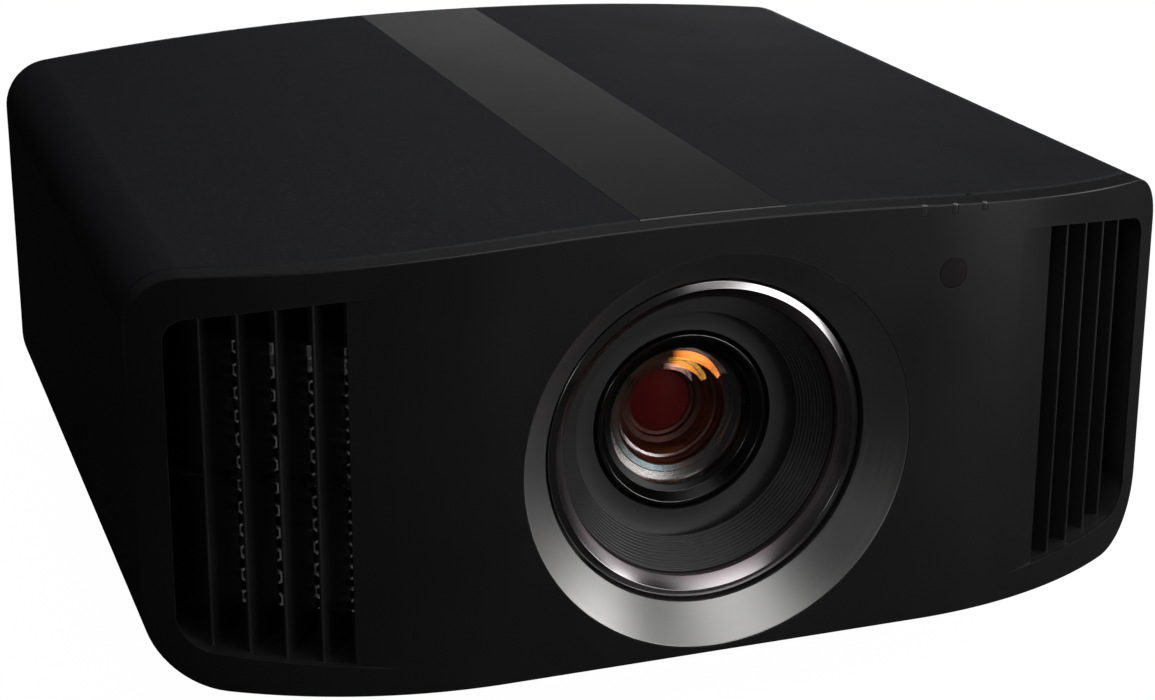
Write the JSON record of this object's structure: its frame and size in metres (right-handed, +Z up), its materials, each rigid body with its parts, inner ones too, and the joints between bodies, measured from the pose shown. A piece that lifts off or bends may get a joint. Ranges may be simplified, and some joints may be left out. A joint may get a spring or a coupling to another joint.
{
  "type": "home projector",
  "caption": "Large home cinema projector with a central motorised zoom lens in a conical bezel, swept front panel and side exhaust louvres.",
  "frame": {"origin": "centre of the footprint on the table, under the feet", "axes": "+Z up, front and lens towards -Y, +X to the right when seen from the front"},
  "size_m": [0.5, 0.495, 0.234],
  "materials": {
    "satin_black": "satin black moulding",
    "cover_grey": "fine-textured dark grey",
    "strip_grey": "smooth satin grey",
    "gunmetal": "satin dark metal",
    "champagne": "polished lip, satin cone",
    "baffle_black": "matt black",
    "mesh_grey": "painted sheet",
    "smoke": "dark translucent window",
    "light_guide": "clear grey light guide",
    "glass": "coated optical glass",
    "black_metal": "black anodised",
    "bare_metal": "die cast and milled",
    "steel": "ground steel",
    "motor": "plated can",
    "gear": "natural acetal",
    "board": "green circuit board",
    "fan": "black",
    "sheet": "zinc-plated sheet",
    "socket": "plated shell",
    "key": "satin dark grey",
    "filter": "black grille with foam pad",
    "foot": "black, soft underside",
    "brass": "plain brass",
    "screw": "blackened steel"
  },
  "bodies": {
    "case": {"front_panel": "satin_black", "top_cover": "cover_grey", "lower_case": "cover_grey", "top_trim": "strip_grey", "sensor_window": "smoke", "indicator_lights": "light_guide", "left_louvre": "satin_black", "right_louvre": "satin_black", "vent_meshes": "mesh_grey", "lens_bezel": "gunmetal", "trim_ring": "champagne", "lens_baffle": "baffle_black", "lens_mount": "bare_metal", "vertical_drive": "motor", "chassis_plate": "sheet", "engine_case": "black_metal", "prism_block": "glass", "laser_source": "bare_metal", "heat_sink": "bare_metal", "fan_frames": "fan", "rear_panel": "satin_black", "case_screws": "screw", "circuit_boards": "board", "power_supply": "sheet", "signal_sockets": "socket", "mains_inlet": "satin_black", "ceiling_inserts": "brass"},
    "vertical_carriage": {"vertical_stage": "bare_metal", "horizontal_drive": "motor"},
    "vertical_lead_screw": {"vertical_screw": "steel"},
    "lens_carriage": {"horizontal_stage": "bare_metal", "lens_barrel": "black_metal", "lens_shroud": "baffle_black", "lens_motors": "motor", "rear_glass": "glass"},
    "horizontal_lead_screw": {"horizontal_screw": "steel"},
    "focus_gear": {"focus_ring": "gear"},
    "focus_drive": {"focus_pinion": "gear"},
    "focus_group": {"front_cell": "black_metal", "front_glass": "glass"},
    "zoom_gear": {"zoom_ring": "gear"},
    "zoom_drive": {"zoom_pinion": "gear"},
    "zoom_group": {"zoom_cell": "black_metal", "zoom_glass": "glass"},
    "left_fan": {"left_rotor": "fan"},
    "right_fan": {"right_rotor": "fan"},
    "filter": {"filter_cassette": "filter"},
    "power_key_body": {"power_key": "key"},
    "input_key_body": {"input_key": "key"},
    "menu_key_body": {"menu_key": "key"},
    "back_key_body": {"back_key": "key"},
    "ok_key_body": {"ok_key": "key"},
    "up_key_body": {"up_key": "key"},
    "down_key_body": {"down_key": "key"},
    "left_key_body": {"left_key": "key"},
    "right_key_body": {"right_key": "key"},
    "front_left_foot_body": {"front_left_foot": "foot"},
    "front_right_foot_body": {"front_right_foot": "foot"},
    "rear_left_foot_body": {"rear_left_foot": "foot"},
    "rear_right_foot_body": {"rear_right_foot": "foot"}
  },
  "joints": [
    {"name": "vertical_shift", "type": "slide", "parent": "case", "child": "vertical_carriage", "axis": [0, 0, 1], "range_m": [-0.0065, 0.0065]},
    {"name": "vertical_screw_turn", "type": "hinge", "parent": "case", "child": "vertical_lead_screw", "pos_m": [0.102, -0.0795, 0.13], "axis": [0, 0, 1], "range_deg": [-600, 600]},
    {"name": "horizontal_shift", "type": "slide", "parent": "vertical_carriage", "child": "lens_carriage", "axis": [1, 0, 0], "range_m": [-0.0053, 0.0053]},
    {"name": "horizontal_screw_turn", "type": "hinge", "parent": "vertical_carriage", "child": "horizontal_lead_screw", "pos_m": [0, -0.097, 0.207], "axis": [1, 0, 0], "range_deg": [-500, 500]},
    {"name": "focus_turn", "type": "hinge", "parent": "lens_carriage", "child": "focus_gear", "pos_m": [0, -0.1705, 0.126], "axis": [0, 1, 0], "range_deg": [-60, 60]},
    {"name": "focus_pinion_turn", "type": "hinge", "parent": "lens_carriage", "child": "focus_drive", "pos_m": [-0.04738, -0.1705, 0.17338], "axis": [0, 1, 0], "range_deg": [-280, 280]},
    {"name": "focus_slide", "type": "slide", "parent": "lens_carriage", "child": "focus_group", "axis": [0, 1, 0], "range_m": [-0.0021, 0.0021]},
    {"name": "zoom_turn", "type": "hinge", "parent": "lens_carriage", "child": "zoom_gear", "pos_m": [0, -0.1405, 0.126], "axis": [0, 1, 0], "range_deg": [0, 80]},
    {"name": "zoom_pinion_turn", "type": "hinge", "parent": "lens_carriage", "child": "zoom_drive", "pos_m": [0.04738, -0.1405, 0.17338], "axis": [0, 1, 0], "range_deg": [-375, 5]},
    {"name": "zoom_slide", "type": "slide", "parent": "lens_carriage", "child": "zoom_group", "axis": [0, 1, 0], "range_m": [0, 0.0181]},
    {"name": "left_fan_spin", "type": "hinge", "parent": "case", "child": "left_fan", "pos_m": [-0.18221, -0.18806, 0.11825], "axis": [0.5249, 0.8511, 0], "continuous": true},
    {"name": "right_fan_spin", "type": "hinge", "parent": "case", "child": "right_fan", "pos_m": [0.18221, -0.18806, 0.11825], "axis": [-0.5249, 0.8511, 0], "continuous": true},
    {"name": "filter_pull", "type": "slide", "parent": "case", "child": "filter", "axis": [0, 1, 0], "range_m": [0, 0.06]},
    {"name": "power_key_press", "type": "slide", "parent": "case", "child": "power_key_body", "axis": [0, -1, 0], "range_m": [0, 0.0008], "stiffness_N_per_m": 600},
    {"name": "input_key_press", "type": "slide", "parent": "case", "child": "input_key_body", "axis": [0, -1, 0], "range_m": [0, 0.0008], "stiffness_N_per_m": 600},
    {"name": "menu_key_press", "type": "slide", "parent": "case", "child": "menu_key_body", "axis": [0, -1, 0], "range_m": [0, 0.0008], "stiffness_N_per_m": 600},
    {"name": "back_key_press", "type": "slide", "parent": "case", "child": "back_key_body", "axis": [0, -1, 0], "range_m": [0, 0.0008], "stiffness_N_per_m": 600},
    {"name": "ok_key_press", "type": "slide", "parent": "case", "child": "ok_key_body", "axis": [0, -1, 0], "range_m": [0, 0.0008], "stiffness_N_per_m": 600},
    {"name": "up_key_press", "type": "slide", "parent": "case", "child": "up_key_body", "axis": [0, -1, 0], "range_m": [0, 0.0008], "stiffness_N_per_m": 600},
    {"name": "down_key_press", "type": "slide", "parent": "case", "child": "down_key_body", "axis": [0, -1, 0], "range_m": [0, 0.0008], "stiffness_N_per_m": 600},
    {"name": "left_key_press", "type": "slide", "parent": "case", "child": "left_key_body", "axis": [0, -1, 0], "range_m": [0, 0.0008], "stiffness_N_per_m": 600},
    {"name": "right_key_press", "type": "slide", "parent": "case", "child": "right_key_body", "axis": [0, -1, 0], "range_m": [0, 0.0008], "stiffness_N_per_m": 600},
    {"name": "front_left_foot_screw", "type": "slide", "parent": "case", "child": "front_left_foot_body", "axis": [0, 0, -1], "range_m": [0, 0.005]},
    {"name": "front_right_foot_screw", "type": "slide", "parent": "case", "child": "front_right_foot_body", "axis": [0, 0, -1], "range_m": [0, 0.005]},
    {"name": "rear_left_foot_screw", "type": "slide", "parent": "case", "child": "rear_left_foot_body", "axis": [0, 0, -1], "range_m": [0, 0.005]},
    {"name": "rear_right_foot_screw", "type": "slide", "parent": "case", "child": "rear_right_foot_body", "axis": [0, 0, -1], "range_m": [0, 0.005]}
  ],
  "couplings": [
    {"joint": "vertical_screw_turn", "follows": "vertical_shift", "rad_per_m": 1570.8},
    {"joint": "horizontal_screw_turn", "follows": "horizontal_shift", "rad_per_m": 1570.8},
    {"joint": "focus_pinion_turn", "follows": "focus_turn", "ratio": -4.5833},
    {"joint": "focus_slide", "follows": "focus_turn", "m_per_rad": 0.0019099},
    {"joint": "zoom_pinion_turn", "follows": "zoom_turn", "ratio": -4.5833},
    {"joint": "zoom_slide", "follows": "zoom_turn", "m_per_rad": 0.012892}
  ]
}
